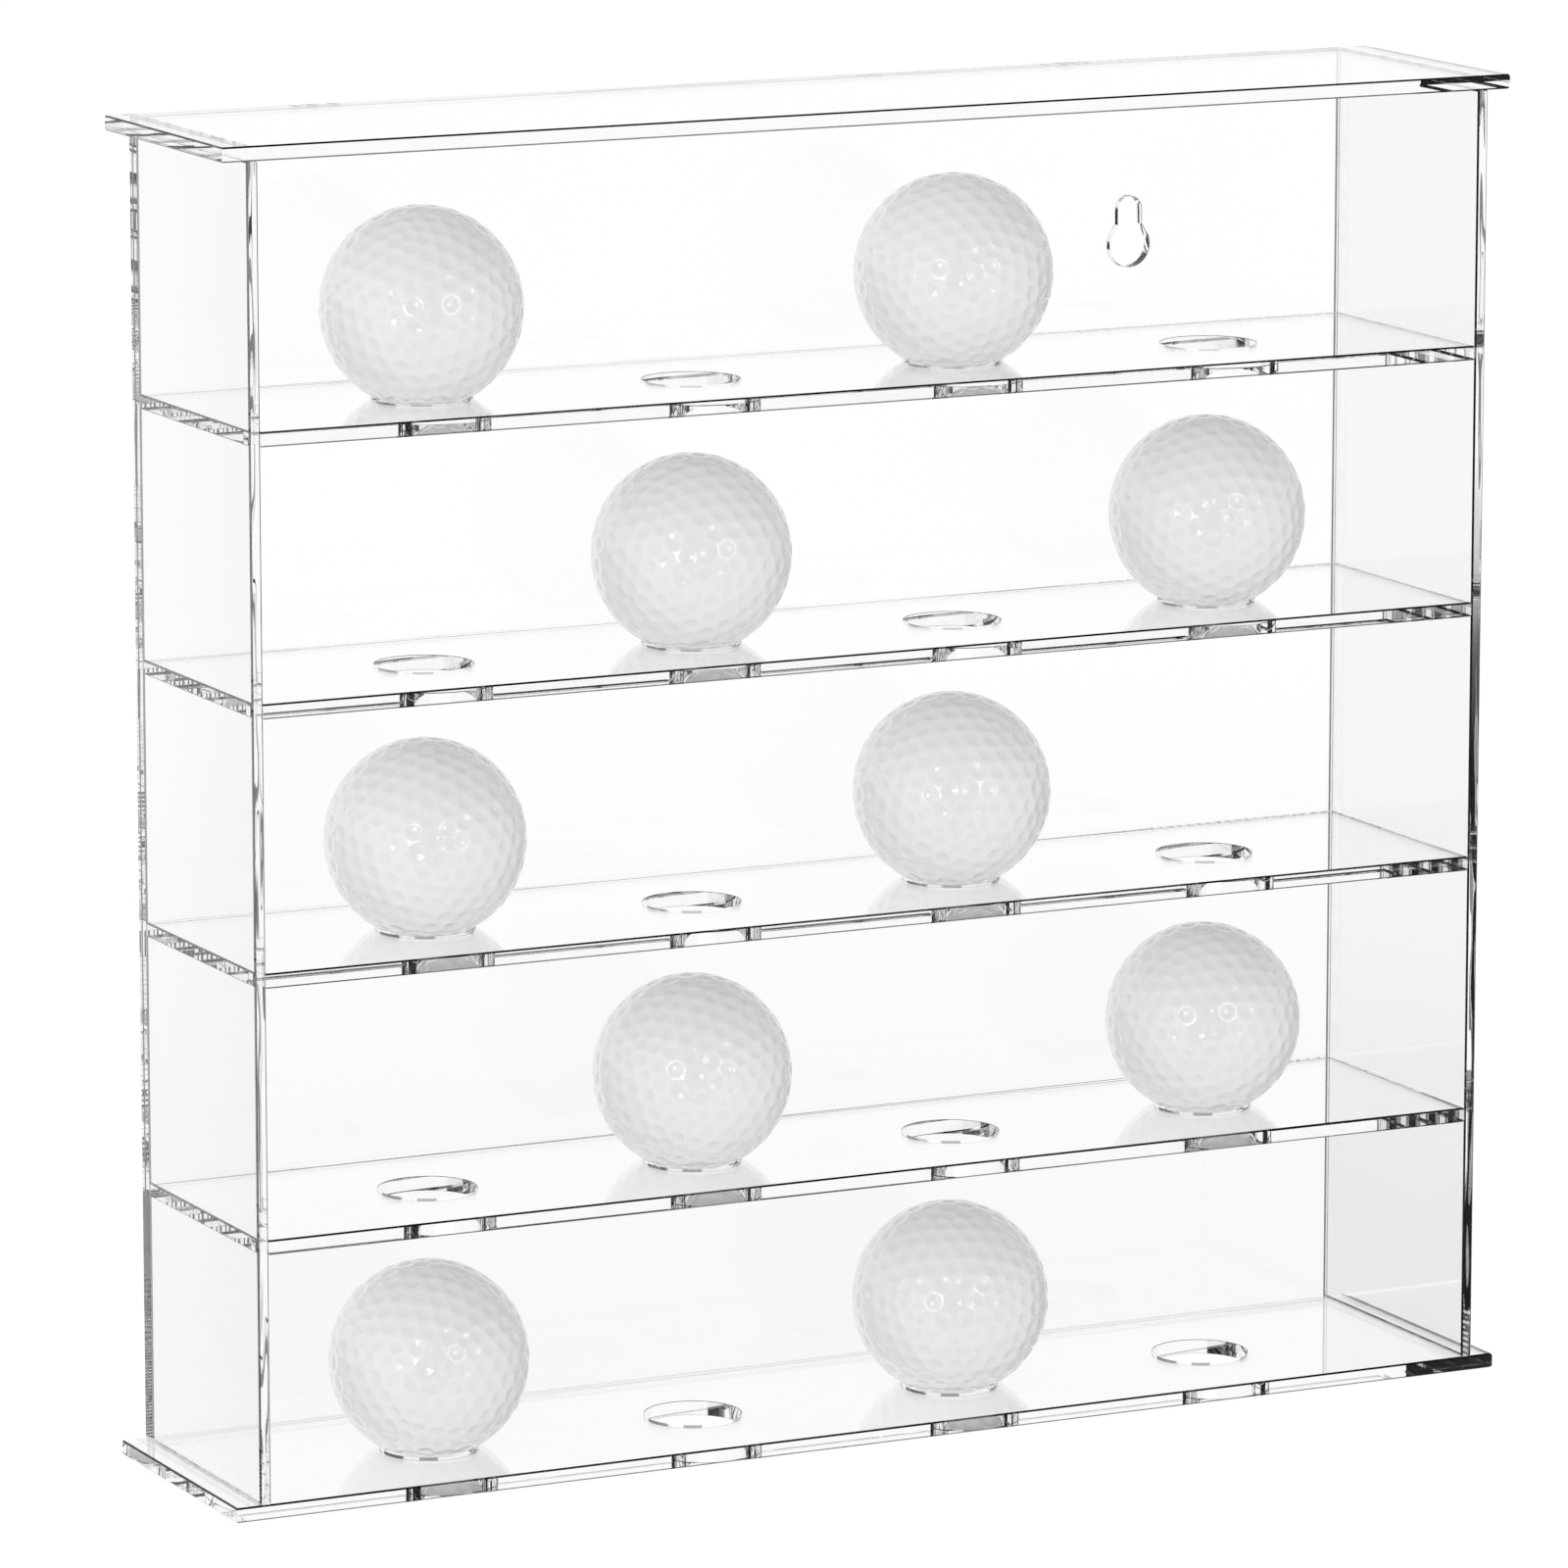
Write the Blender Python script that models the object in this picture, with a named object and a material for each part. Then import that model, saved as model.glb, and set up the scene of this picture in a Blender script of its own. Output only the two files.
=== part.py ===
"""Clear acrylic display case for golf balls: five tiers, each with four round seats.

Metres, +Z up, X across the case, and the open front towards -Y. The origin is the middle of the
footprint, on the surface that the case stands on. The top and bottom panels run past the two side
panels. The back panel and the shelves fit between the sides, and the bottom panel is the lowest
shelf. Balls sit on every second seat. Each hangs from an empty on the axis of its way out, which
lifts it off the rim of its seat and over the front edge of the shelf.
"""

import math

import bmesh
import bpy

# The ball and the round hole that it sits in
ball_diameter = 0.04267
seat_diameter = 0.0210
seat_gap = 0.0003  # between the ball and the rim of its hole

# The grid of seats, and the room around a seated ball
tier_count = 5
column_count = 4
ball_spacing = 0.01933  # between neighbouring balls on a full shelf
end_room = 0.02787  # between an end ball and the side panel
ball_inset = 0.00867  # from the ball to the front edge, and to the back panel
headroom = 0.0127  # from the ball to the shelf above
top_headroom = 0.0150  # from the ball to the top panel

# The sheets and how they meet
shelf_sheet = 0.0032  # top panel, shelves and bottom panel
wall_sheet = 0.0025  # side panels and back panel
overhang = 0.0053  # of the top and bottom panels past the side panels
glue_gap = 0.0003
cut_overrun = 0.0020  # how far a cutter passes each face of its sheet

# The two keyholes in the back panel
keyhole_spacing = 0.1794
keyhole_drop = 0.0373  # from the top panel down to the middle of the round part
keyhole_head_diameter = 0.0098
keyhole_slot_width = 0.0058
keyhole_slot_rise = 0.0077  # from the middle of the round part to that of the slot's round end
keyhole_shoulder_rise = 0.0044  # to where the slot's straight sides begin
keyhole_shoulder_angle = math.radians(19)  # where a shoulder meets the round part, above level

# The way out of a seat: an arc that starts steeper than the rim and tops out under the next shelf
lift_start_angle = math.radians(35)
lift_clearance = 0.0006

# Facets of the round shapes
seat_sides = 32
ball_segments = 24
ball_rings = 14
keyhole_head_steps = 20
keyhole_slot_steps = 10

# Sizes that follow from those above
ball_radius = ball_diameter / 2
seat_radius = seat_diameter / 2
ball_height = math.sqrt((ball_radius + seat_gap) ** 2 - seat_radius**2)  # centre over the shelf
column_pitch = ball_diameter + ball_spacing
tier_pitch = ball_height + ball_radius + headroom + shelf_sheet
top_room = ball_height + ball_radius + top_headroom
inner_width = (column_count - 1) * column_pitch + ball_diameter + 2 * end_room
inner_depth = ball_diameter + 2 * ball_inset
inner_height = (tier_count - 1) * tier_pitch + top_room
side_width = inner_width + 2 * wall_sheet
case_width = side_width + 2 * overhang
case_depth = inner_depth + wall_sheet
case_height = inner_height + 2 * shelf_sheet
front_y = -case_depth / 2
back_y = case_depth / 2
seat_y = front_y + inner_depth / 2
ceiling_z = shelf_sheet + inner_height
lift_rise = headroom - lift_clearance
lift_radius = lift_rise / (1 - math.cos(lift_start_angle))


def clear_scene():
    for old in list(bpy.data.objects):
        bpy.data.objects.remove(old, do_unlink=True)


def principled(name, colour, roughness, transmission=0.0, ior=1.5):
    """A material with one Principled BSDF."""
    material = bpy.data.materials.new(name)
    material.use_nodes = True
    shader = material.node_tree.nodes["Principled BSDF"]
    shader.inputs["Base Color"].default_value = (*colour, 1)
    shader.inputs["Roughness"].default_value = roughness
    shader.inputs["Metallic"].default_value = 0
    shader.inputs["Transmission Weight"].default_value = transmission
    shader.inputs["IOR"].default_value = ior
    return material


def clear_acrylic(name, tint=(0.97, 0.985, 0.98)):
    return principled(name, tint, roughness=0.02, transmission=1, ior=1.49)


def add_object(name, shape, material=None):
    """A new object of this bmesh, which is freed."""
    shape.normal_update()
    mesh = bpy.data.meshes.new(name)
    shape.to_mesh(mesh)
    shape.free()
    if material:
        mesh.materials.append(material)
    placed = bpy.data.objects.new(name, mesh)
    bpy.context.scene.collection.objects.link(placed)
    return placed


def add_sheet(name, size, centre):
    """A flat sheet of acrylic, given by its size and its centre."""
    shape = bmesh.new()
    bmesh.ops.create_cube(shape, size=1)
    bmesh.ops.scale(shape, vec=size, verts=shape.verts)
    sheet = add_object(name, shape, clear_acrylic(name + "_acrylic"))
    sheet.location = centre
    return sheet


def add_cutter(name, shape, centre):
    cutter = add_object(name, shape)
    cutter.location = centre
    cutter.hide_render = True
    cutter.display_type = "WIRE"
    return cutter


def cut(sheet, cutter):
    boolean = sheet.modifiers.new(cutter.name, "BOOLEAN")
    boolean.operation = "DIFFERENCE"
    boolean.solver = "EXACT"
    boolean.object = cutter


def column_x(column):
    """The middle of a column of seats, counted from 1 at the left."""
    return (column - (column_count + 1) / 2) * column_pitch


def tier_floor_z(tier):
    """The top face of the shelf of a tier, counted from 1 at the top."""
    return shelf_sheet + (tier_count - tier) * tier_pitch


def cut_seats(shelf, floor_z):
    """One round hole through the shelf for each column."""
    height = shelf_sheet + 2 * cut_overrun
    for column in range(1, column_count + 1):
        shape = bmesh.new()
        bmesh.ops.create_cone(
            shape,
            cap_ends=True,
            segments=seat_sides,
            radius1=seat_radius,
            radius2=seat_radius,
            depth=height,
        )
        centre = (column_x(column), seat_y, floor_z - shelf_sheet / 2)
        cut(shelf, add_cutter(f"{shelf.name}_seat_{column}", shape, centre))


def add_level_sheets():
    """The top panel, the shelves between the sides and the bottom panel, which is the last shelf."""
    full = (case_width, case_depth, shelf_sheet)
    add_sheet("top_panel", full, (0, 0, ceiling_z + shelf_sheet / 2))
    shelf_depth = inner_depth - glue_gap
    shelf_y = front_y + shelf_depth / 2
    for tier in range(1, tier_count):
        floor_z = tier_floor_z(tier)
        size = (inner_width - 2 * glue_gap, shelf_depth, shelf_sheet)
        shelf = add_sheet(f"shelf_{tier}", size, (0, shelf_y, floor_z - shelf_sheet / 2))
        cut_seats(shelf, floor_z)
    bottom = add_sheet("bottom_panel", full, (0, 0, shelf_sheet / 2))
    cut_seats(bottom, tier_floor_z(tier_count))


def add_side_panels():
    size = (wall_sheet, case_depth, inner_height - 2 * glue_gap)
    middle_z = shelf_sheet + inner_height / 2
    for name, side in (("left_side_panel", -1), ("right_side_panel", 1)):
        add_sheet(name, size, (side * (inner_width + wall_sheet) / 2, 0, middle_z))


def keyhole_outline():
    """Points round a keyhole in X and Z, about the middle of its round part, which is at the bottom."""
    head_radius = keyhole_head_diameter / 2
    slot_radius = keyhole_slot_width / 2
    points = []
    sweep = math.pi + 2 * keyhole_shoulder_angle
    for step in range(keyhole_head_steps + 1):
        angle = keyhole_shoulder_angle - sweep * step / keyhole_head_steps
        points.append((head_radius * math.cos(angle), head_radius * math.sin(angle)))
    points.append((-slot_radius, keyhole_shoulder_rise))
    for step in range(keyhole_slot_steps + 1):
        angle = math.pi * (1 - step / keyhole_slot_steps)
        rise = keyhole_slot_rise + slot_radius * math.sin(angle)
        points.append((slot_radius * math.cos(angle), rise))
    points.append((slot_radius, keyhole_shoulder_rise))
    return points


def cut_keyholes(back):
    """Two keyholes, round part down, so that the case drops onto two screws in the wall."""
    depth = wall_sheet + 2 * cut_overrun
    for name, side in (("left", -1), ("right", 1)):
        shape = bmesh.new()
        rim = [shape.verts.new((x, -depth / 2, z)) for x, z in keyhole_outline()]
        face = shape.faces.new(rim)
        grown = bmesh.ops.extrude_face_region(shape, geom=[face])
        moved = [part for part in grown["geom"] if isinstance(part, bmesh.types.BMVert)]
        bmesh.ops.translate(shape, vec=(0, depth, 0), verts=moved)
        bmesh.ops.recalc_face_normals(shape, faces=shape.faces)
        middle_y = back_y - wall_sheet / 2
        centre = (side * keyhole_spacing / 2, middle_y, ceiling_z - keyhole_drop)
        cut(back, add_cutter(f"keyhole_{name}", shape, centre))


def add_back_panel():
    size = (inner_width - 2 * glue_gap, wall_sheet, inner_height - 2 * glue_gap)
    centre = (0, back_y - wall_sheet / 2, shelf_sheet + inner_height / 2)
    cut_keyholes(add_sheet("back_panel", size, centre))


def ball_mesh():
    shape = bmesh.new()
    bmesh.ops.create_uvsphere(
        shape, u_segments=ball_segments, v_segments=ball_rings, radius=ball_radius
    )
    mesh = bpy.data.meshes.new("golf_ball")
    shape.to_mesh(mesh)
    shape.free()
    mesh.shade_smooth()
    mesh.materials.append(principled("ball_cover", (0.86, 0.86, 0.85), roughness=0.45))
    return mesh


def add_balls():
    """A ball on every second seat, offset by one from tier to tier, each under its own lift axis."""
    mesh = ball_mesh()
    forward = lift_radius * math.sin(lift_start_angle)
    down = lift_radius * math.cos(lift_start_angle)
    for tier in range(1, tier_count + 1):
        first = 1 if tier % 2 else 2
        for column in range(first, column_count + 1, 2):
            place = f"r{tier}_c{column}"
            centre_z = tier_floor_z(tier) + ball_height
            axis = bpy.data.objects.new(f"lift_axis_{place}", None)
            axis.location = (column_x(column), seat_y - forward, centre_z - down)
            bpy.context.scene.collection.objects.link(axis)
            ball = bpy.data.objects.new(f"ball_{place}", mesh)
            ball.parent = axis
            ball.location = (0, forward, down)
            bpy.context.scene.collection.objects.link(ball)


clear_scene()
add_level_sheets()
add_side_panels()
add_back_panel()
add_balls()
print(f"case {case_width:.4f} x {case_depth:.4f} x {case_height:.4f} m, tier pitch {tier_pitch:.4f} m")
print(f"ball centre {ball_height:.5f} m over its shelf, lift arc radius {lift_radius:.5f} m")
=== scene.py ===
# %% [markdown]
# A display case for golf balls, in clear acrylic.
# The case is nine flat sheets, bonded edge to edge, and the balls sit in round holes in its
# shelves. Almost all that the eye sees of such a case is light bending at its cut edges, so this
# lesson spends its effort there: true sheets with true edges, a glass-like shader, and a studio
# that has something for the edges to show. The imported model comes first, because every piece
# below takes its place and its size from it.

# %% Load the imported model
import math
import random

import bmesh
import bpy
from mathutils import Euler, Matrix, Vector


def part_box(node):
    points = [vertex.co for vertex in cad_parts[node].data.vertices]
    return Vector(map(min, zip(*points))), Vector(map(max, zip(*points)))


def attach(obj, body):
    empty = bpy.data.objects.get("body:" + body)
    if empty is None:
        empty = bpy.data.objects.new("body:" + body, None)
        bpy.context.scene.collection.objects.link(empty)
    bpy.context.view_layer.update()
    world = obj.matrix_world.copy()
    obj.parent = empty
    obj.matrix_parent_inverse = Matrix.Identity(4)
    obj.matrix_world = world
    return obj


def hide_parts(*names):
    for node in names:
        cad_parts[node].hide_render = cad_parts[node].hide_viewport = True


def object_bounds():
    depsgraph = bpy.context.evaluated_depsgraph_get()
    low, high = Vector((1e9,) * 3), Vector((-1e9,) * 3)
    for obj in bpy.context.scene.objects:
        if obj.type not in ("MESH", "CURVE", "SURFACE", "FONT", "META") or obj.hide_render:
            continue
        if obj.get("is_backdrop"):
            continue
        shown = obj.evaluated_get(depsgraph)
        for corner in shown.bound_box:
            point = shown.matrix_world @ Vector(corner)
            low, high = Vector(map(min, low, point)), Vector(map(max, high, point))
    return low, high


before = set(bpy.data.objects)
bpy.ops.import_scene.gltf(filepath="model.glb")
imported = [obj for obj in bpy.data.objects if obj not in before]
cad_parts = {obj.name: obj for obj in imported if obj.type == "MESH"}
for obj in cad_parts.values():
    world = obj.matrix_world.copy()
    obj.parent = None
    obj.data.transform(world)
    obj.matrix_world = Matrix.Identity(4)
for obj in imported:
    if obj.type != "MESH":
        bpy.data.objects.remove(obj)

cad_low, cad_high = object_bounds()
case_middle = (cad_low + cad_high) / 2


def mm(*lengths):
    """Lengths in millimetres, for what is printed."""
    return [round(length * 1000, 2) for length in lengths]


print("case, mm:", mm(*(cad_high - cad_low)))

# %% [markdown]
# The camera stands in front of the case, to its left and a little above it. The place, the turn
# and the lens were worked out from where the corners, the balls and the holes appear in the
# picture. A long lens from two metres away keeps the level lines almost parallel, as in a
# catalogue photograph.

# %% Camera
camera_place = Vector((-0.8916, -1.8006, 0.5172))
camera_turn = math.radians(26.124)  # to the right of straight ahead
camera_dip = math.radians(10.686)  # below level
camera_lens_mm = 219.39
sensor_mm = 36
camera_reach = 50  # m, beyond the far end of the table

camera_data = bpy.data.cameras.new("camera")
camera_data.lens = camera_lens_mm
camera_data.sensor_width = sensor_mm
camera_data.clip_end = camera_reach
camera = bpy.data.objects.new("camera", camera_data)
camera.location = camera_place
camera.rotation_euler = (math.pi / 2 - camera_dip, 0, -camera_turn)
bpy.context.scene.collection.objects.link(camera)
bpy.context.scene.camera = camera
bpy.context.scene.view_settings.view_transform = "Standard"
print("camera to case, m:", round((camera_place - case_middle).length, 3))

# %% [markdown]
# Finishes and dimples are made by trees of nodes. Such a tree could be written as a list of nodes
# and a list of links, but it reads better as sums. Wire stands for the output of a node, and
# arithmetic on wires adds Math nodes. Every other kind of node comes from one method, which takes
# the node's settings and the values or wires of its sockets.

# %% A small language for node trees
class Wire:
    """An output socket. Sums and products of wires and numbers add Math nodes."""

    def __init__(self, tree, socket):
        self.tree, self.socket = tree, socket

    def __add__(self, other):
        return self.tree.maths("ADD", self, other)

    def __sub__(self, other):
        return self.tree.maths("SUBTRACT", self, other)

    def __rsub__(self, other):
        return self.tree.maths("SUBTRACT", other, self)

    def __mul__(self, other):
        return self.tree.maths("MULTIPLY", self, other)

    __radd__, __rmul__ = __add__, __mul__


class Tree:
    """A node tree that is written from Python."""

    def __init__(self, tree):
        self.nodes, self.links = tree.nodes, tree.links

    def node(self, kind, output, inputs=(), **settings):
        """Adds a node and gives one of its outputs. Settings are made before the sockets. The kind
        of a shader node is short, and that of a geometry node is written out."""
        made = self.nodes.new(kind if kind.startswith("GeometryNode") else "ShaderNode" + kind)
        for name, value in settings.items():
            setattr(made, name, value)
        for name, value in dict(inputs).items():
            if isinstance(value, Wire):
                self.links.new(value.socket, made.inputs[name])
            else:
                made.inputs[name].default_value = value
        return Wire(self, made.outputs[output]) if output is not None else made

    def maths(self, operation, *values):
        return self.node("Math", 0, dict(enumerate(values)), operation=operation)

    def ease(self, value, start, end):
        """From 0 at start to 1 at end, along a smooth step."""
        ends = {"Value": value, "From Min": start, "From Max": end}
        return self.node("MapRange", "Result", ends, interpolation_type="SMOOTHSTEP")

    def mix_colour(self, share, *colours):
        """A blend of two colours, each a wire or three numbers. They are sockets 6 and 7."""
        first, second = [c if isinstance(c, Wire) else (*c, 1) for c in colours]
        return self.node("Mix", 2, {0: share, 6: first, 7: second}, data_type="RGBA")

    def mix_shaders(self, share, first, second):
        return self.node("MixShader", 0, {0: share, 1: first, 2: second})

    def path(self, name):
        """What Light Path knows of the ray."""
        return self.node("LightPath", name)


def shader_tree(owner):
    """The tree of a world or a material, emptied."""
    owner.use_nodes = True
    owner.node_tree.nodes.clear()
    return Tree(owner.node_tree)


# %% [markdown]
# Clear things show what stands round them. A photographer puts a white sheet behind the case and
# leaves the rest of the room dark, so that each edge that turns the light finds something dark to
# show. The room could be a photograph wrapped round the scene. It is a sum of soft steps on the
# direction of a ray instead, because each wall can then be moved until the edges come out right.
# A direction gives three numbers: how far it goes across, away from the front and up. Its turn
# is the angle from straight ahead, with left below zero.

# %% World: the direction of a ray
world = bpy.data.worlds.new("studio")
bpy.context.scene.world = world
sky = shader_tree(world)
direction = sky.node("TexCoord", "Generated")
across, away, up = (sky.node("SeparateXYZ", axis, {0: direction}) for axis in range(3))
turn = sky.maths("ARCTAN2", across, away)


def radians(*degrees):
    return [math.radians(angle) for angle in degrees]


def sines(*degrees):
    """How far up a ray at each of these angles above level goes."""
    return [math.sin(angle) for angle in radians(*degrees)]


print("straight ahead is +Y, and the front of the case looks to -Y")

# %% [markdown]
# The white sheet ends at a soft edge on each side, as it would out of focus, and above it is the
# ceiling. The room in front of the case, behind the camera, is lit. A dark wall isn't one flat
# dark: narrow upright strips of it, lit or dark, put the streaks into the sheets' edges. Each
# strip is one step up times one step down.

# %% World: the white sheet, the walls and the strips
screen_left, screen_right, screen_blur = -24.5, 52, 2
screen_top, screen_top_end = 21, 30
front_fade = (0.05, -0.15)  # away, where the lit room in front of the case fades in
strip_blur = math.radians(0.8)


def strip(start, end):
    """1 between two turns in degrees, the first of them nearer to straight ahead."""
    near, far = radians(start, end)
    blur = math.copysign(strip_blur, start)
    return sky.ease(turn, near, near + blur) * (1 - sky.ease(turn, far - blur, far))


past_left = sky.ease(turn, *radians(screen_left, screen_left - screen_blur))
past_right = sky.ease(turn, *radians(screen_right, screen_right + screen_blur))
ceiling = sky.ease(up, *sines(screen_top, screen_top_end))
in_front = sky.ease(away, *front_fade)
print("white sheet, degrees:", screen_left, "to", screen_right)

# %% [markdown]
# A ray that zigzags inside a sheet is mirrored many times, and comes out at the far edge. It sees
# the white sheet, and dark walls, ceiling and floor beside it, which gives the black slashes at
# the sheets' ends. A small window in the left wall lets some of them through as light.

# %% World: what zigzagging rays see
dark_level = 0.006
window = (-26, -36)
window_foot, window_sill = -10.4, -8.4
eye_level = (0.02, -0.02)  # up, where the window ends

in_window = strip(*window) * sky.ease(up, *sines(window_foot, window_sill))
in_window = in_window * sky.ease(up, *eye_level)
beside = sky.maths("MAXIMUM", past_left * (1 - in_window), past_right)
above_or_below = sky.ease(sky.maths("ABSOLUTE", up), *sines(screen_top, screen_top_end))
zigzag_wall = (1 - in_front) * dark_level + in_front
zigzag_view = (1 - beside * (1 - zigzag_wall)) * (1 - above_or_below * (1 - dark_level))
print("window, degrees:", window, "across, from", window_foot, "up to eye level")

# %% [markdown]
# A ray that is mirrored once makes the reflections in the broad faces. The right side panel
# mirrors the lit strip of the left wall, above its dark skirting. A level sheet mirrors the upper
# walls, which are light, or it would look smoky from other sides. The lit room in front has one
# dark gap, where the camera stands: the upright edges at the back mirror that, and would vanish
# without it.

# %% World: what rays mirrored once see
mirrored_wall_level, mirrored_ceiling_level = 0.36, 0.5
lit_strip, lit_strip_level = (-28.6, -33), 0.49
skirting_top, skirting_foot = -11.3, -13.4
upper_wall, upper_wall_level = (0.0, 0.06), 0.9  # up, where the walls grow light
near_left = (-21.5, -25.5)  # where the white sheet ends for these rays
gap_direction = (-0.44, -0.898)  # across and away
gap_edge, gap_core = 28, 24  # degrees from its middle
gap_depth = 0.95

skirting = past_left * sky.ease(up, *sines(skirting_top, skirting_foot))
strip_lit = strip(*lit_strip) * (1 - skirting) * lit_strip_level
on_right = sky.maths("GREATER_THAN", across, 0)
wall_lit = sky.maths("MAXIMUM", strip_lit, on_right * mirrored_wall_level)
wall_lit = sky.maths("MAXIMUM", wall_lit, sky.ease(up, *upper_wall) * upper_wall_level)
along_gap = across * gap_direction[0] + away * gap_direction[1]
in_gap = sky.ease(along_gap, *[math.cos(angle) for angle in radians(gap_edge, gap_core)])
mirrored_wall = (1 - in_front) * wall_lit + in_front * (1 - in_gap * gap_depth)
beside_once = sky.maths("MAXIMUM", sky.ease(turn, *radians(*near_left)), past_right)
mirrored_ceiling = 1 - ceiling * (1 - mirrored_ceiling_level)
mirrored_view = (1 - beside_once * (1 - mirrored_wall)) * mirrored_ceiling
print("lit strip, degrees:", lit_strip, "at", lit_strip_level)

# %% [markdown]
# A ray that only goes through sheets sees white almost all round, so that the case looks clear
# from every side. Two dark strips beside the white sheet and the dark ceiling draw its bevels.

# %% World: what rays that go straight through see
dark_strips = ((52, 56), (64, 71))

strips = strip(*dark_strips[0]) + strip(*dark_strips[1])
clear_view = 1 - sky.maths("MAXIMUM", strips, ceiling) * (1 - dark_level)
print("dark strips, degrees:", *dark_strips)

# %% [markdown]
# Light Path tells the three kinds apart: it counts how often a ray was mirrored on its way. The
# camera itself sees plain white. Every other ray lights the balls, with a soft and even light that
# is weaker from the right, so that they look round.

# %% World: one background from the three views
mirrored_once, mirrored_twice = 0.5, 1.5  # bars for the count, between whole numbers
soft_light = 1.16
right_light_share = 0.45  # how much less of it comes from the right
right_light_span = (-0.8, 0.0)  # across, where it grows weaker

mirrored = sky.path("Glossy Depth")
once = sky.maths("GREATER_THAN", mirrored, mirrored_once)
again = sky.maths("GREATER_THAN", mirrored, mirrored_twice)
mirror_view = again * zigzag_view + (1 - again) * mirrored_view
backdrop = once * mirror_view + (1 - once) * clear_view
glass_rays = sky.maths("MAXIMUM", sky.path("Is Glossy Ray"), sky.path("Is Transmission Ray"))
camera_ray = sky.path("Is Camera Ray")
seen = sky.maths("MAXIMUM", glass_rays * backdrop, camera_ray)
unseen = 1 - sky.maths("MAXIMUM", glass_rays, camera_ray)
light = (1 - sky.ease(across, *right_light_span) * right_light_share) * soft_light
inputs = {"Color": (1, 1, 1, 1), "Strength": seen + unseen * light}
sky.node("OutputWorld", None, {"Surface": sky.node("Background", 0, inputs)})
print("world nodes:", len(world.node_tree.nodes))

# %% [markdown]
# The case stands on a white table that runs into the white background. The table could be plain
# white paint, but then it would be grey beside the background. So most of its white is its own
# glow, for the camera and for what is seen in or through a sheet, and the rest is paint that takes
# the shadow of the case, so that the shadow is there but faint. Close to the case the glow that
# comes through the sheets is weaker, as in a soft shade. Rays that a sheet has mirrored pass
# through the table, because below it the room's dark sides go on.

# %% Table
table_half_side = 6.0
table_gap = 0.0004  # under the case, so that the two faces don't fight
table_glow, glow_share = 1.07, 0.86  # how strong it is, and its share of the white
glow_through = (0.985, 1.045)  # seen through a sheet: close to the case, and far from it
shade_reach = (0.1, 1.0)  # from the middle of the case to where its soft shade starts and ends
glow_on_balls = 0.65  # the share of the glow among what the table sends up to the balls
table_paint = (0.95, 0.95, 0.95, 1)

table_material = bpy.data.materials.new("white_table")
table_material.cycles.emission_sampling = "NONE"  # the glow asks what kind of ray meets it
paint = shader_tree(table_material)
kinds = ("Camera", "Glossy", "Transmission")
by_camera, by_mirror, through_sheet = (paint.path(f"Is {kind} Ray") for kind in kinds)
seen = paint.maths("MINIMUM", by_camera + by_mirror + through_sheet, 1)
place = paint.node("TexCoord", "Object")
distance = paint.node("VectorMath", "Value", {0: place}, operation="LENGTH")
shade_glow, far_glow = glow_through
through = paint.ease(distance, *shade_reach) * (far_glow - shade_glow) + shade_glow
strength = through_sheet * (through - table_glow) + table_glow
glow = paint.node("Emission", 0, {"Color": (1, 1, 1, 1), "Strength": strength})
matt = paint.node("BsdfDiffuse", 0, {"Color": table_paint})
share = seen * glow_share + paint.path("Is Diffuse Ray") * glow_on_balls
surface = paint.mix_shaders(share, matt, glow)
was_mirrored = paint.maths("GREATER_THAN", paint.path("Glossy Depth"), mirrored_once)
surface = paint.mix_shaders(was_mirrored, surface, paint.node("BsdfTransparent", 0))
paint.node("OutputMaterial", None, {"Surface": surface})

table_mesh = bpy.data.meshes.new("table")
corners = [(-1, -1), (1, -1), (1, 1), (-1, 1)]
table_z = cad_low.z - table_gap
table_points = [(x * table_half_side, y * table_half_side, table_z) for x, y in corners]
table_mesh.from_pydata(table_points, [], [(0, 1, 2, 3)])
table_mesh.materials.append(table_material)
table = bpy.data.objects.new("table", table_mesh)
bpy.context.scene.collection.objects.link(table)
table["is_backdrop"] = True
print("table, m:", 2 * table_half_side, "square, top at", round(table_z, 4))

# %% [markdown]
# Two soft lamps beside the camera model the balls and put a small light in each dimple. The room
# alone could light the balls, but it leaves them flat. Rays that have gone through a sheet don't
# see the lamps, which would glare in it.

# %% Lamps
lamp_side = 0.36
lamp_places = {"left": Vector((-1.05, -1.2, 0.35)), "right": Vector((0.25, -1.5, 0.5))}
lamp_watts = {"left": 2.1, "right": 1.3}

for side, place in lamp_places.items():
    lamp_data = bpy.data.lights.new(f"softbox_{side}", "AREA")
    lamp_data.size = lamp_side
    lamp_data.energy = lamp_watts[side]
    lamp = bpy.data.objects.new(f"softbox_{side}", lamp_data)
    lamp.location = place
    lamp.rotation_euler = (case_middle - place).to_track_quat("-Z", "Y").to_euler()
    lamp.visible_camera = lamp.visible_transmission = False
    bpy.context.scene.collection.objects.link(lamp)
    print(lamp.name, "at, mm:", mm(*place), "with", lamp_watts[side], "W")

# %% [markdown]
# Inside a sheet, light zigzags between the faces, and each turn is a bounce. Across a sheet that
# takes a dozen turns, and along the whole back panel more than a hundred. The usual limits would
# stop it on the way and leave black where there is light, so they are raised.

# %% Light bounces
zigzags = 160
cycles = bpy.context.scene.cycles
cycles.max_bounces = cycles.glossy_bounces = cycles.transmission_bounces = zigzags
cycles.transparent_max_bounces = zigzags
print("light bounces:", zigzags)

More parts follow.
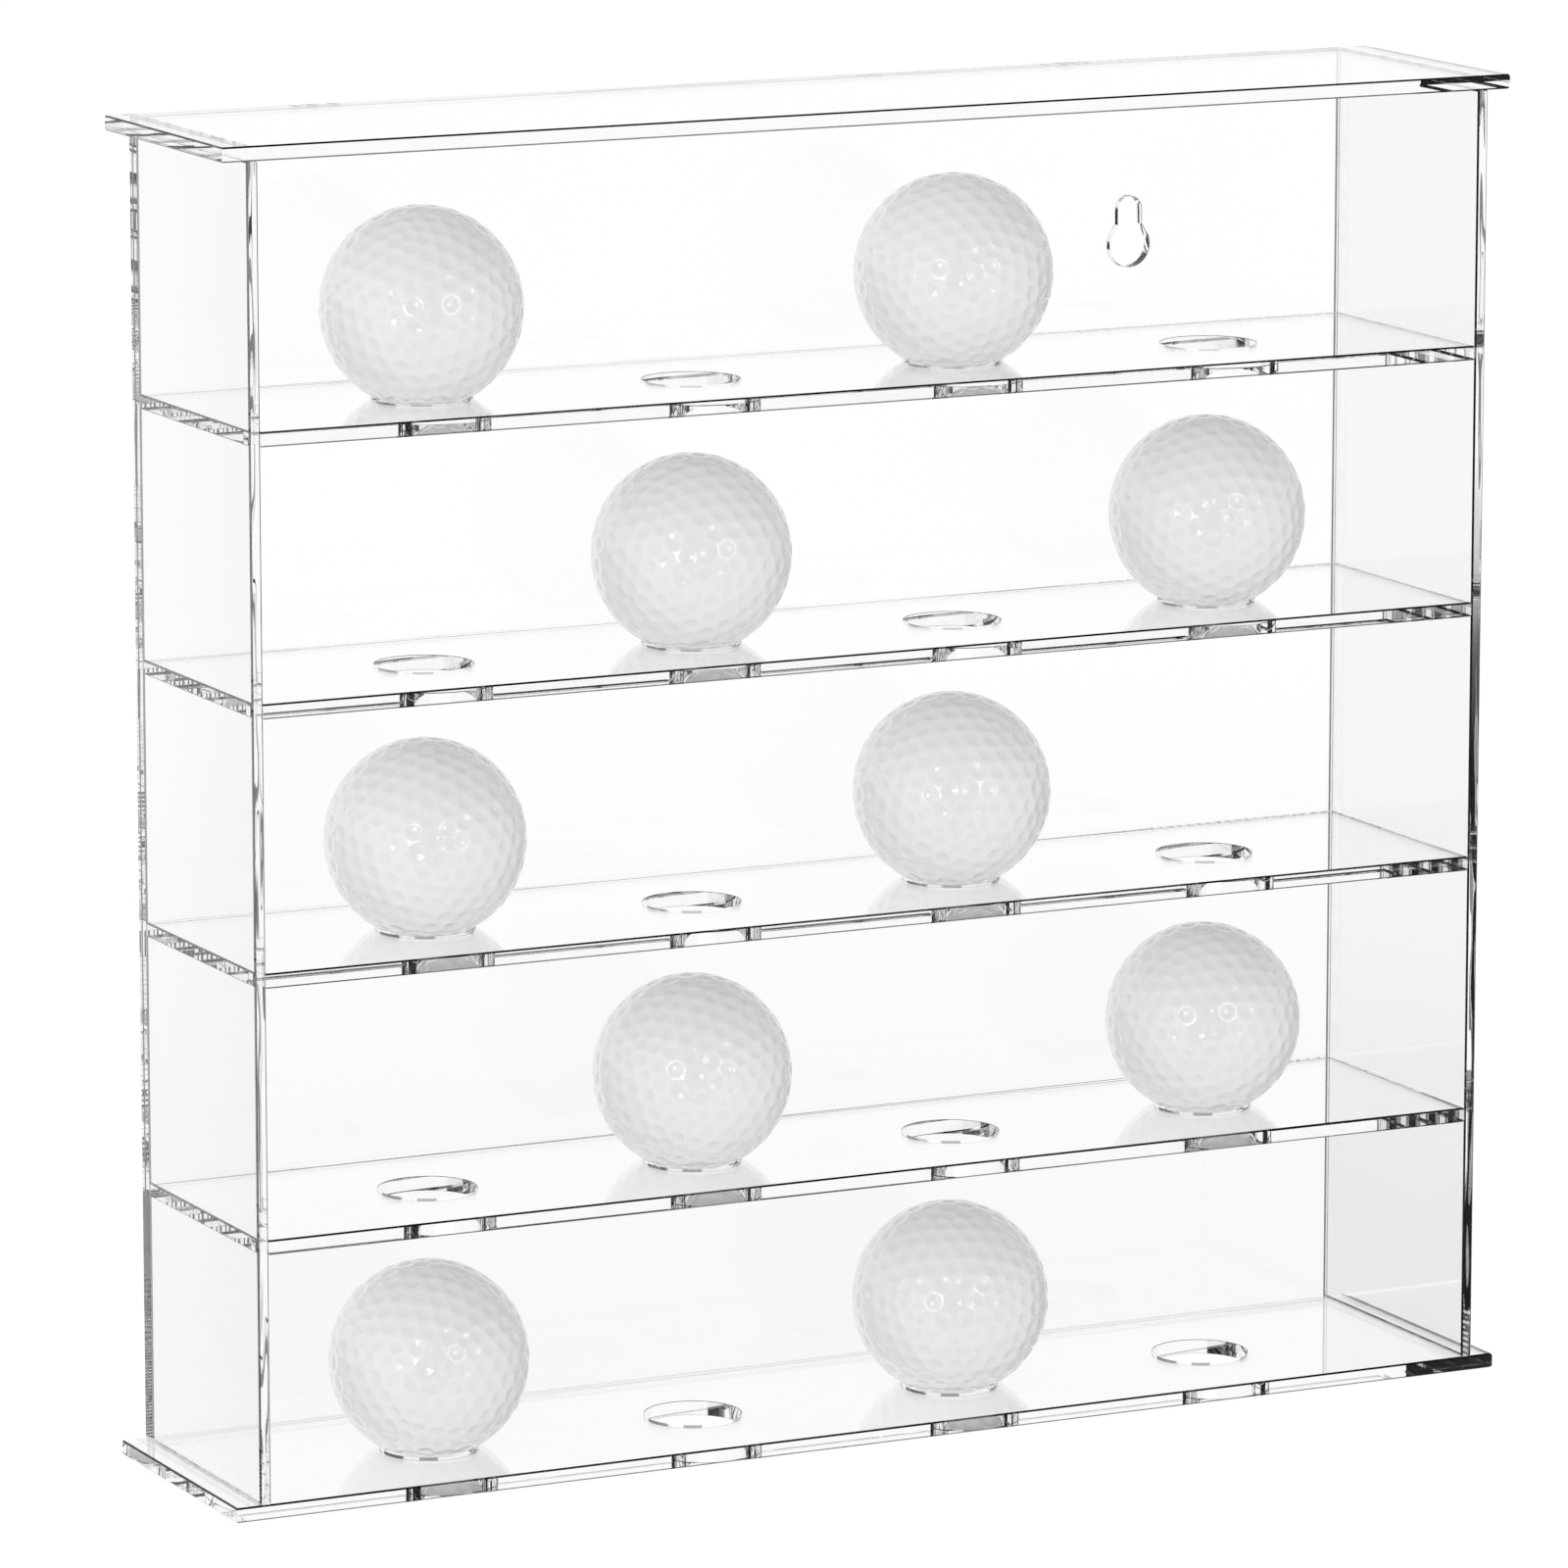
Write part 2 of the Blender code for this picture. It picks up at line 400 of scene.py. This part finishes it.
# %% [markdown]
# Acrylic is a little less dense to light than window glass, with an index of 1.49. Its cast faces
# are almost perfect: a very slow swell is all that tells them from glass. Diamond polish leaves
# its long edges as good as that, but a flame leaves a ripple on the ends, and long streaks on the
# fronts of the thin side panels. The narrow bevels turn the light so far that they show as thin
# dark lines, and a nearly black tint, a painted shade, keeps them so from every side. Rays from the
# lamps, and light that one ball sends to another, go straight through the faces, so that the
# shelves don't shade the balls. The edges hold some of it back, which shades each ball where it
# sits in its hole. A Glass node could make all this too. The Principled node is used because the
# export knows it, and because its tint makes the faces mirror less without making them less clear.

# %% Acrylic
acrylic_index = 1.49
face_passes, edge_passes, bevel_passes = 0.995, 0.55, 0.15  # shares of the balls' light
face_gleam, edge_gleam = 0.5, 0.15  # a cut edge mirrors less than a cast face
swell_detail = 0.5


def acrylic(name, tints, tint_scale, ripple, height, passes, gleam=edge_gleam, roughness=0):
    """Clear acrylic. Its colour drifts between two tints, ripple is how many swells there are to a
    metre along X, Y and Z, and passes is the share of the balls' light that goes through it."""
    material = bpy.data.materials.new(name)
    tree = shader_tree(material)
    place = tree.node("TexCoord", "Object")
    drift = tree.node("TexNoise", "Fac", {"Vector": place, "Scale": tint_scale})
    stretched = tree.node("VectorMath", 0, {0: place, 1: ripple}, operation="MULTIPLY")
    swells = {"Vector": stretched, "Scale": 1, "Detail": swell_detail}
    bump = {"Height": tree.node("TexNoise", "Fac", swells), "Distance": height, "Strength": 1}
    inputs = {
        "Base Color": tree.mix_colour(drift, *tints),
        "Roughness": roughness,
        "IOR": acrylic_index,
        "Transmission Weight": 1,
        "Specular Tint": (gleam, gleam, gleam, 1),
        "Normal": tree.node("Bump", "Normal", bump),
    }
    clear = tree.node("BsdfPrincipled", "BSDF", inputs)
    straight = tree.node("BsdfTransparent", 0, {"Color": (passes, passes, passes, 1)})
    lit = tree.mix_shaders(tree.path("Is Shadow Ray"), clear, straight)
    surface = tree.mix_shaders(tree.path("Is Diffuse Ray"), lit, straight)
    tree.node("OutputMaterial", None, {"Surface": surface})
    return material


# %% [markdown]
# One function makes the five finishes of the case. They differ in their tint, in how closely and
# which way their swells lie, and in how high these are, in metres.

# %% The finishes of the sheets
face_tints = ((0.995, 0.998, 0.998), (0.985, 0.99, 0.99))
edge_tints = ((0.98, 0.985, 0.985), (0.93, 0.935, 0.935))
# painted shade: the bevels are tinted nearly black, for the dark room that they show by bending the
# light
painted_shade_bevel_tints = ((0.01, 0.01, 0.01), (0.09, 0.09, 0.09))
slow, fine = (18, 18, 18), (60, 60, 60)
ripples, streaks = (90, 90, 60), (350, 100, 35)

cast_face = acrylic(
    "acrylic_cast_face", face_tints, tint_scale=12, ripple=slow, height=0.000005,
    passes=face_passes, gleam=face_gleam)
polished_edge = acrylic(
    "acrylic_polished_edge", edge_tints, tint_scale=90, ripple=fine, height=0.00001,
    passes=edge_passes)
rippled_end = acrylic(
    "acrylic_rippled_end", edge_tints, tint_scale=90, ripple=ripples, height=0.00005,
    passes=edge_passes)
streaked_edge = acrylic(
    "acrylic_streaked_edge", edge_tints, tint_scale=90, ripple=streaks, height=0.0003,
    passes=edge_passes)
# painted shade: the bevel finish is nearly black, so that its thin dark lines stay from every side
painted_dark_bevel = acrylic(
    "acrylic_bevel_painted_shade", painted_shade_bevel_tints, tint_scale=70, ripple=fine, height=0.00002,
    passes=bevel_passes, roughness=0.05)
acrylics = (cast_face, polished_edge, rippled_end, streaked_edge, painted_dark_bevel)
print("acrylic:", [material.name for material in acrylics])

# %% [markdown]
# A sheet is cut from one outline and its holes, and the saw and the polish leave a small bevel
# all round. It could be a cube with a Bevel modifier, but a flat sheet with round holes is
# cleaner when it is built from its loops: each outline is repeated at four heights, pulled in at
# the first and the last, and the gaps between them are closed with walls and two flat caps.

# %% Loops
edge_bevel = 0.00036
hole_bevel = 0.0001  # a drilled and reamed hole keeps a sharper rim
hole_steps = 96


def circle(centre, radius):
    """A loop of points, clockwise, so that a hole has its sheet on the left."""
    loop = []
    for step in range(hole_steps):
        turn = -2 * math.pi * step / hole_steps
        place = (centre.x + radius * math.cos(turn), centre.y + radius * math.sin(turn))
        loop.append(Vector(place))
    return loop


def rectangle(low, high):
    return [Vector(p) for p in (low, (high[0], low[1]), high, (low[0], high[1]))]


def pull_in(loop, insets):
    """The loop with each side moved to its left, where its sheet is, and with mitred corners."""
    moved = []
    for k, point in enumerate(loop):
        before, after = loop[k - 1], loop[(k + 1) % len(loop)]
        first, second = (point - before).normalized(), (after - point).normalized()
        left, right = Vector((-first.y, first.x)), Vector((-second.y, second.x))
        shift = left * insets[k - 1] + right * insets[k]
        moved.append(point + shift / (1 + left.dot(right)))
    return moved


print("bevels of edges and holes, mm:", mm(edge_bevel, hole_bevel))

# %% [markdown]
# A sheet lies across its thin axis, and its outline has four sides, numbered 0 to 3. Its ends are
# among them: both short sides of a level sheet, and the front of a side sheet. The bevels are
# painted nearly black, a painted shade for the dark room that they show by bending the light, apart
# from the upper rims of the holes, and from sides that are given as clear, which have an inset of
# their own. One wall finish would be simpler, but then every edge would look the same, and the eye
# tells a real case by its edges.

# %% The finish of each wall
# the bevel finish carries a painted shade, a nearly black tint
finishes = {"face": 0, "edge": 1, "bevel": 2, "end": 3}
end_sides = ((3,), (3,), (1, 3))  # of a sheet that is thin along X, Y or Z
lower_bevel, plain_wall, upper_bevel = range(3)  # the bands of walls between the four heights


def finish_of(side, band, is_outline, thin, clear_sides):
    """The number of the material of one wall."""
    # bevel walls take the finish with the painted dark shade
    if band != plain_wall and side not in clear_sides and (is_outline or band == lower_bevel):
        return finishes["bevel"]
    if is_outline and side in end_sides[thin]:
        return finishes["end"]
    return finishes["edge"]


def add_ring(shape, loop, height, thin):
    """The loop as vertices, at this height along the thin axis."""
    ring = []
    for point in loop:
        place = Vector((0, 0, 0))
        place[thin], place[(thin + 1) % 3], place[(thin + 2) % 3] = height, point.x, point.y
        ring.append(shape.verts.new(place))
    return ring


print("finishes:", finishes)

# %% [markdown]
# With the rings in place, each pair of neighbours is joined by a band of walls, and the first and
# the last rings are the rims of the two caps, which are filled around the holes.

# %% Sheets
sharp_angle = math.radians(30)  # bevels stay crisp, and the walls of a hole shade as round


def sheet_mesh(name, low, high, holes, end_finish, clear_sides):
    """A bevelled sheet that fills the box from low to high. Holes are loops in its plane. The
    clear sides of its outline, by number, each have an inset of their own and no dark bevel."""
    size = high - low
    thin = min(range(3), key=lambda axis: size[axis])
    wide, tall = (thin + 1) % 3, (thin + 2) % 3
    outline = rectangle((low[wide], low[tall]), (high[wide], high[tall]))
    shape = bmesh.new()
    lower_rim, upper_rim = [], []
    for loop in [outline, *holes]:
        is_outline = loop is outline
        bevel, clear = (edge_bevel, clear_sides) if is_outline else (hole_bevel, {})
        count = len(loop)
        inner = pull_in(loop, [clear.get(side, bevel) for side in range(count)])
        heights = (low[thin], low[thin] + bevel, high[thin] - bevel, high[thin])
        loops = (inner, loop, loop, inner)
        rings = [add_ring(shape, *pair, thin) for pair in zip(loops, heights)]
        for band, (lower, upper) in enumerate(zip(rings, rings[1:])):
            for i in range(count):
                j = (i + 1) % count
                wall = shape.faces.new((lower[i], lower[j], upper[j], upper[i]))
                wall.material_index = finish_of(i, band, is_outline, thin, clear)
        for rim, ring in ((lower_rim, rings[0]), (upper_rim, rings[-1])):
            rim += [shape.edges.get((ring[i], ring[(i + 1) % count])) for i in range(count)]
    for rim in (lower_rim, upper_rim):
        bmesh.ops.triangle_fill(shape, edges=rim, use_beauty=True)
    bmesh.ops.recalc_face_normals(shape, faces=shape.faces)
    mesh = bpy.data.meshes.new(name)
    shape.to_mesh(mesh)
    shape.free()
    mesh.shade_smooth()
    mesh.set_sharp_from_angle(angle=sharp_angle)
    for material in (cast_face, polished_edge, painted_dark_bevel, end_finish):
        mesh.materials.append(material)
    return mesh


# %% [markdown]
# The sheets are bonded with a solvent that melts both sides into one, so light runs on from sheet
# to sheet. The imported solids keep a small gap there. Here each sheet reaches across its gap and a
# hair's breadth into its neighbour, which lets the light through as the bond does.

# %% Placing a sheet
glue_gap = 0.0003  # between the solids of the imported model
bond_depth = 0.00005
bond = glue_gap + bond_depth


def add_sheet(name, node, end_finish, holes=(), clear_sides={}, reach_low=(0, 0, 0),
              reach_high=(0, 0, 0)):
    """The sheet that stands for one node. It reaches past the node's box to meet its bonds."""
    low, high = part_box(node)
    reached = low - Vector(reach_low), high + Vector(reach_high)
    mesh = sheet_mesh(name, *reached, holes, end_finish, clear_sides)
    sheet = bpy.data.objects.new(name, mesh)
    bpy.context.scene.collection.objects.link(sheet)
    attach(sheet, "case")
    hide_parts(node)
    print(name, len(mesh.polygons), "faces, mm:", mm(*(high - low)))


print("each bond reaches, mm:", *mm(bond))

# %% [markdown]
# The seats are round holes, one for each column, in every shelf and in the bottom panel. They
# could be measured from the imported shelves, but the balls tell where they are more simply.

# %% Level sheets
seat_radius = 0.0105
shelf_count = 4
column_balls = ("ball_r1_c1", "ball_r2_c2", "ball_r1_c3", "ball_r2_c4")

seats = []
for ball in column_balls:
    ball_low, ball_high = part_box(ball)
    seats.append(circle(((ball_low + ball_high) / 2).xy, seat_radius))
square_back = {2: 0}  # the back edges of the outer sheets have no bevel
add_sheet("top_sheet", "top_panel", rippled_end, (), square_back)
add_sheet("bottom_sheet", "bottom_panel", rippled_end, seats, square_back)
for tier in range(1, shelf_count + 1):
    reach = {"reach_low": (bond, 0, 0), "reach_high": (bond, bond, 0)}
    add_sheet(f"shelf_sheet_{tier}", f"shelf_{tier}", polished_edge, seats, {}, **reach)

# %% [markdown]
# Each keyhole is a round hole with a slot above it. The screw's head goes through the round part,
# and the case then drops until the slot holds the screw. A Boolean could cut it, but a loop of
# points gives clean walls and costs no clean-up.

# %% Upright sheets
keyhole_spacing = 0.1794
keyhole_drop = 0.0373  # from the underside of the top sheet
head_radius = 0.0049
slot_radius = 0.0029
slot_rise = 0.0077
shoulder_rise = 0.0044
shoulder_angle = math.radians(19)
head_steps, slot_steps = 60, 24


def keyhole(centre_x, centre_z):
    """A keyhole's loop, as (Z, X) pairs, which is how a sheet that is thin along Y is drawn."""
    sweep = math.pi + 2 * shoulder_angle
    turns = [shoulder_angle - sweep * step / head_steps for step in range(head_steps + 1)]
    points = [(head_radius * math.sin(t), head_radius * math.cos(t)) for t in turns]
    points.append((shoulder_rise, -slot_radius))
    turns = [math.pi * (1 - step / slot_steps) for step in range(slot_steps + 1)]
    points += [(slot_rise + slot_radius * math.sin(t), slot_radius * math.cos(t)) for t in turns]
    points.append((shoulder_rise, slot_radius))
    return [Vector((centre_z + z, centre_x + x)) for z, x in reversed(points)]


keyhole_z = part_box("top_panel")[0].z - keyhole_drop
keyholes = [keyhole(side * keyhole_spacing / 2, keyhole_z) for side in (-1, 1)]
upright, between = (0, 0, bond), (bond, 0, bond)
add_sheet("left_side_sheet", "left_side_panel", streaked_edge, (), {}, upright, upright)
add_sheet("right_side_sheet", "right_side_panel", streaked_edge, (), {}, upright, upright)
bond_below = {3: edge_bevel}  # the bond has filled the bevel that stands on the bottom sheet
add_sheet("back_sheet", "back_panel", polished_edge, keyholes, bond_below, between, between)

# %% [markdown]
# A golf ball's dimples lie on the pattern of an icosahedron whose twenty faces are each split
# into smaller triangles. Splitting every edge in six gives 362 points, which is the count of many
# real balls. A few rounds of moving each point to the middle of its neighbours evens them out.

# %% Dimple centres
edge_splits = 6
evening_rounds = 40
merge_distance = 0.001  # on a solid of radius 1


def dimple_centres(name, radius):
    """A mesh of the dimples' centres on a sphere of this radius."""
    solid = bmesh.new()
    bmesh.ops.create_icosphere(solid, subdivisions=1, radius=1)
    shape = bmesh.new()
    for face in solid.faces:
        a, b, c = (corner.co for corner in face.verts)
        rows = []
        for i in range(edge_splits + 1):
            row = []
            for j in range(edge_splits + 1 - i):
                share_b, share_c = i / edge_splits, j / edge_splits
                row.append(shape.verts.new(a + (b - a) * share_b + (c - a) * share_c))
            rows.append(row)
        for i, row in enumerate(rows[:-1]):
            for j in range(len(row) - 1):
                shape.faces.new((row[j], rows[i + 1][j], row[j + 1]))
                if j < len(row) - 2:
                    shape.faces.new((rows[i + 1][j], rows[i + 1][j + 1], row[j + 1]))
    solid.free()
    bmesh.ops.remove_doubles(shape, verts=shape.verts, dist=merge_distance)
    for vertex in shape.verts:
        vertex.co = vertex.co.normalized() * radius
    for _ in range(evening_rounds):
        sums = [
            sum((edge.other_vert(vertex).co for edge in vertex.link_edges), Vector())
            for vertex in shape.verts
        ]
        for vertex, total in zip(shape.verts, sums):
            vertex.co = total.normalized() * radius
    spacings = [edge.calc_length() for edge in shape.edges]
    mesh = bpy.data.meshes.new(name)
    shape.to_mesh(mesh)
    shape.free()
    print(name, len(mesh.vertices), "dimples, mm apart:", mm(min(spacings), max(spacings)))
    return mesh


# %% [markdown]
# Geometry Nodes press the dimples in. They could be a bump in the cover's finish, but real dimples
# change the outline of a ball and the lights in it. The tree is given its sizes, so that it would
# serve any ball.

# %% Dimple tree: what it is given
dimple_inputs = {
    "Centres": "NodeSocketGeometry",
    "Ball radius": "NodeSocketFloat",
    "Dimple radius": "NodeSocketFloat",
    "Dimple depth": "NodeSocketFloat",
    "Cover": "NodeSocketMaterial",
}

dimples = bpy.data.node_groups.new("golf_ball_dimples", "GeometryNodeTree")
for name, kind in dimple_inputs.items():
    dimples.interface.new_socket(name, in_out="INPUT", socket_type=kind)
dimples.interface.new_socket("Ball", in_out="OUTPUT", socket_type="NodeSocketGeometry")
print("given to the dimple tree:", list(dimple_inputs))

# %% [markdown]
# The tree makes a fine sphere, asks each of its points how far the nearest dimple centre is, and
# moves the point inwards by a shallow bowl with a softly rounded rim. The depth of the bowl, from
# 0 on the land to 1 in the middle, stays on the mesh as an attribute for the cover's colour.

# %% Dimple tree: the pressed ball
sphere_divisions = 7  # 81,920 triangles, about 0.4 mm each
bowl_rim_blend = 0.15  # how softly the bowl meets the land, as a share of its depth

maker = Tree(dimples)
given = maker.nodes.new("NodeGroupInput").outputs
centres, ball_size, dimple_size, depth, cover_given = (Wire(maker, given[n]) for n in dimple_inputs)
round_ball = {"Radius": ball_size, "Subdivisions": sphere_divisions}
sphere = maker.node("GeometryNodeMeshIcoSphere", 0, round_ball)
nearest = {"Geometry": centres}
distance = maker.node("GeometryNodeProximity", "Distance", nearest, target_element="POINTS")
share = maker.maths("DIVIDE", distance, dimple_size)
bowl = maker.maths("SMOOTH_MAX", 1 - share * share, 0, bowl_rim_blend)
inwards = {0: maker.node("GeometryNodeInputNormal", 0), "Scale": bowl * depth * -1}
offset = maker.node("VectorMath", 0, inwards, operation="SCALE")
noted = {"Geometry": sphere, "Name": "bowl", "Value": bowl}
noted = maker.node("GeometryNodeStoreNamedAttribute", 0, noted, data_type="FLOAT", domain="POINT")
pressed = maker.node("GeometryNodeSetPosition", 0, {"Geometry": noted, "Offset": offset})
smooth = maker.node("GeometryNodeSetShadeSmooth", 0, {"Geometry": pressed})
real = maker.node("GeometryNodeRealizeInstances", 0, {"Geometry": smooth})
finished = {"Geometry": real, "Material": cover_given}
finished = maker.node("GeometryNodeSetMaterial", 0, finished)
maker.links.new(finished.socket, maker.nodes.new("NodeGroupOutput").inputs["Ball"])
print("dimple tree:", len(dimples.nodes), "nodes")

# %% [markdown]
# The cover is a white plastic under a thin clear coat. It is off white, not pure white, with a
# slow drift in tone and a very fine grain, so that it holds its shape against a white background.
# The bottom of each dimple is painted a little darker, a painted shade in the hollow, and handling
# polishes the land between them. The tree kept the depth of the bowl at each point as an attribute,
# and the colour follows that.

# %% Ball cover
cover_tints = ((0.83, 0.83, 0.83), (0.8, 0.8, 0.8))
# painted shade: each dimple's bottom is painted a little darker than the land
dimple_painted_shade = 0.98  # the tone at the bottom of a dimple, as a share of the cover's
drift_noise, grain_noise, wear_noise = (60, 3), (3500, 2), (400, 4)  # scale and detail
grain_height, grain_strength = 0.00002, 0.5
smooth_roughness, wear_roughness, bowl_roughness = 0.34, 0.12, 0.1
coat_roughness = 0.05


def ball_cover():
    """The finish of a ball, which reads the bowl attribute that the dimple tree leaves."""
    material = bpy.data.materials.new("ball_cover")
    tree = shader_tree(material)
    place = tree.node("TexCoord", "Object")
    drift, grain, wear = (
        tree.node("TexNoise", "Fac", {"Vector": place, "Scale": scale, "Detail": detail})
        for scale, detail in (drift_noise, grain_noise, wear_noise))
    bump = {"Height": grain, "Distance": grain_height, "Strength": grain_strength}
    bowl = tree.node("Attribute", "Fac", attribute_name="bowl")
    clean = tree.mix_colour(drift, *cover_tints)
    # painted shade: the colour darkens towards the bottom of each dimple
    dimple_shade_tints = [[tone * dimple_painted_shade for tone in tint] for tint in cover_tints]
    dimple_shade_colour = tree.mix_colour(drift, *dimple_shade_tints)
    inputs = {
        "Base Color": tree.mix_colour(bowl, clean, dimple_shade_colour),
        "Roughness": smooth_roughness + wear * wear_roughness + bowl * bowl_roughness,
        "Coat Weight": 1.0,
        "Coat Roughness": coat_roughness,
        "Normal": tree.node("Bump", "Normal", bump),
    }
    shader = tree.node("BsdfPrincipled", "BSDF", inputs)
    tree.node("OutputMaterial", None, {"Surface": shader})
    return material


cover = ball_cover()
print("cover:", cover.name, "with", len(cover.node_tree.nodes), "nodes")

# %% [markdown]
# A ball is pressed by a modifier that carries the tree. The modifier could stay on the ball, but
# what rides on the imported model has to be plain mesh, so its result is taken and it is removed.

# %% Pressing a ball
dimple_radius = 0.00178
dimple_depth = 0.0003

ball_names = sorted(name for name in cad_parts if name.startswith("ball_"))
first_low, first_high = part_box(ball_names[0])
ball_radius = (first_high - first_low).z / 2
centres_mesh = dimple_centres("dimple_centres", ball_radius)


def press_ball(name, turn):
    """A dimpled ball about the origin, as plain mesh."""
    centres = centres_mesh.copy()
    centres.transform(turn)
    blank = bpy.data.objects.new(name, centres)
    bpy.context.scene.collection.objects.link(blank)
    modifier = blank.modifiers.new("dimples", "NODES")
    modifier.node_group = dimples
    values = {
        "Ball radius": ball_radius,
        "Dimple radius": dimple_radius,
        "Dimple depth": dimple_depth,
        "Cover": cover,
    }
    for item in dimples.interface.items_tree:
        if item.name in values:
            modifier[item.identifier] = values[item.name]
    evaluated = blank.evaluated_get(bpy.context.evaluated_depsgraph_get())
    mesh = bpy.data.meshes.new_from_object(evaluated)
    mesh.name = name
    blank.modifiers.remove(modifier)
    blank.data = mesh
    bpy.data.meshes.remove(centres)
    return blank


print("balls, mm across:", *mm(2 * ball_radius))

# %% [markdown]
# No two balls sit the same way up. One ball could be made and copied, but then all ten would show
# the same dimples. So each gets a turn of its own before it is pressed, from a fixed seed, and
# goes to the middle of the ball that it stands for.

# %% Balls
ball_seed = 7

chance = random.Random(ball_seed)
for node in ball_names:
    turn = Euler([chance.uniform(0, 2 * math.pi) for _ in range(3)]).to_matrix().to_4x4()
    ball = press_ball("golf_" + node, turn)
    low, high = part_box(node)
    ball.data.transform(Matrix.Translation((low + high) / 2))
    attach(ball, node)
    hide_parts(node)
print(len(ball_names), "balls,", len(ball.data.polygons), "faces each")

# %% [markdown]
# The last step checks the dressed model against the imported one: the two boxes go to a file, and
# the frame checks that nothing rides on the wrong body.

# %% Size of the dressed model
new_low, new_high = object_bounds()
print("dressed case, mm:", mm(*(new_high - new_low)))
